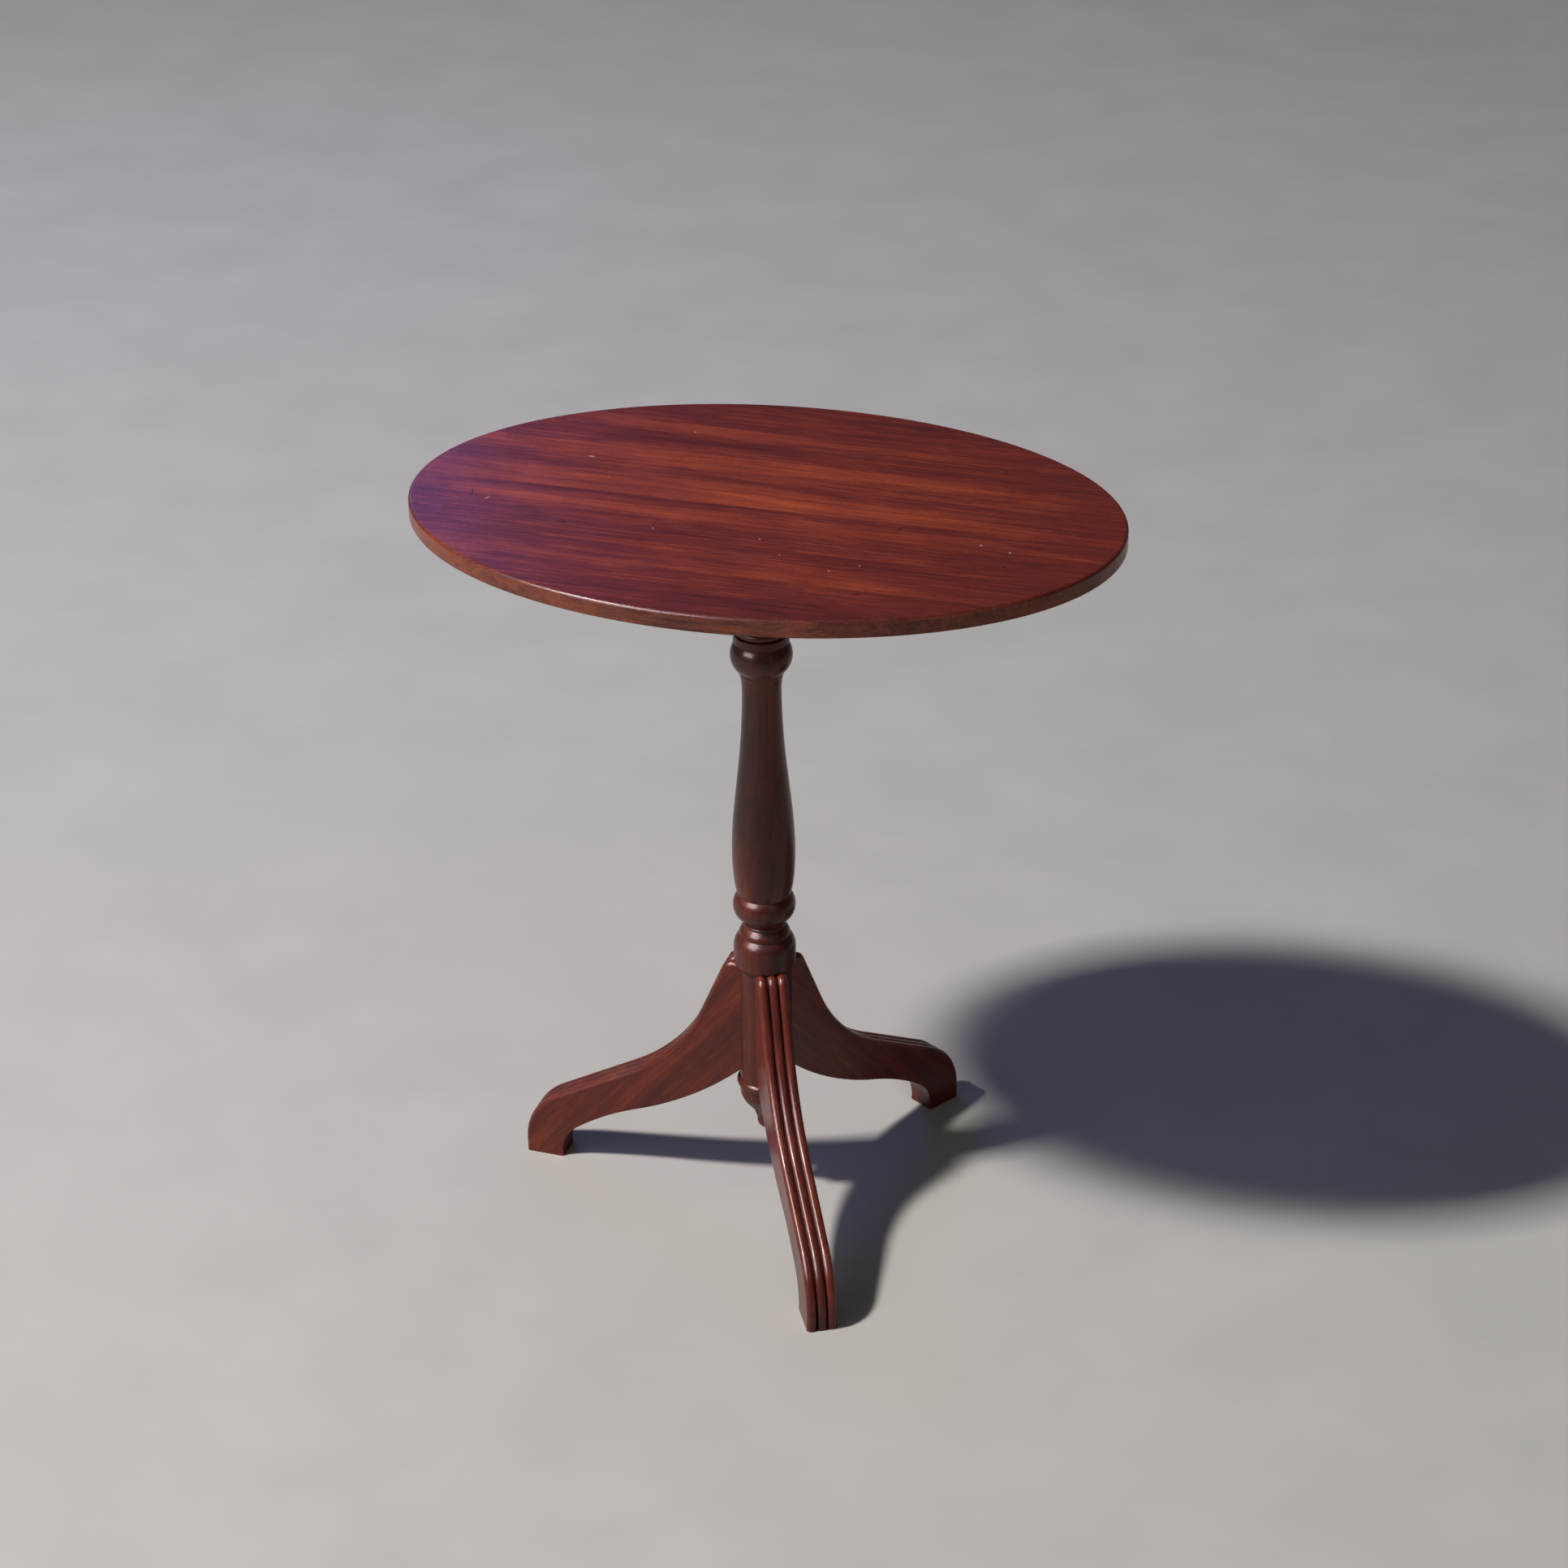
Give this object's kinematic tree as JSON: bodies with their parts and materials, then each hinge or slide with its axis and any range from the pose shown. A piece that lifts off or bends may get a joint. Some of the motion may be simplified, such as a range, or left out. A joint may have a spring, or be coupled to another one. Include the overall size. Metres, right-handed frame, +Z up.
{
  "type": "tilt top table",
  "caption": "Small oval occasional table whose top tips up on a block over a turned pillar with reeded outswept legs and a sprung brass catch.",
  "frame": {"origin": "on the floor, under the pillar's axis; the oval's centre lies 5 mm from it along +X", "axes": "+Z up; +X along the oval's length, which is the way of the grain and of the hinge line; -Y is the hinge side, +Y the catch side"},
  "size_m": [0.634, 0.4393, 0.71],
  "materials": {
    "top_mahogany": "polished red-brown mahogany",
    "turned_mahogany": "polished dark mahogany",
    "leg_mahogany": "polished red-brown mahogany",
    "underside_mahogany": "stained, unpolished mahogany",
    "pin_wood": "plain hardwood",
    "brass": "aged lacquered brass",
    "steel": "dull steel"
  },
  "bodies": {
    "base": {"pillar": "turned_mahogany", "drop_finial": "turned_mahogany", "leg_left": "leg_mahogany", "leg_front": "leg_mahogany", "leg_right": "leg_mahogany", "tilt_block": "underside_mahogany", "tenon_wedge": "pin_wood", "pivot_pin_left": "pin_wood", "pivot_pin_right": "pin_wood", "keeper_plate": "brass", "keeper_screws": "brass"},
    "top": {"tabletop": "top_mahogany", "bearer_left": "underside_mahogany", "bearer_right": "underside_mahogany", "bearer_screws": "steel", "catch_case": "brass", "catch_screws": "brass", "catch_spring": "steel"},
    "catch": {"catch_bolt": "brass", "catch_knob": "brass"}
  },
  "joints": [
    {"name": "top_tilt", "type": "hinge", "parent": "base", "child": "top", "pos_m": [0, -0.0512, 0.68], "axis": [1, 0, 0], "range_deg": [0, 90]},
    {"name": "catch_slide", "type": "slide", "parent": "top", "child": "catch", "axis": [0, 1, 0], "range_m": [0, 0.008], "stiffness_N_per_m": 600, "springref_m": -0.004, "deforming": ["catch_spring"]}
  ]
}
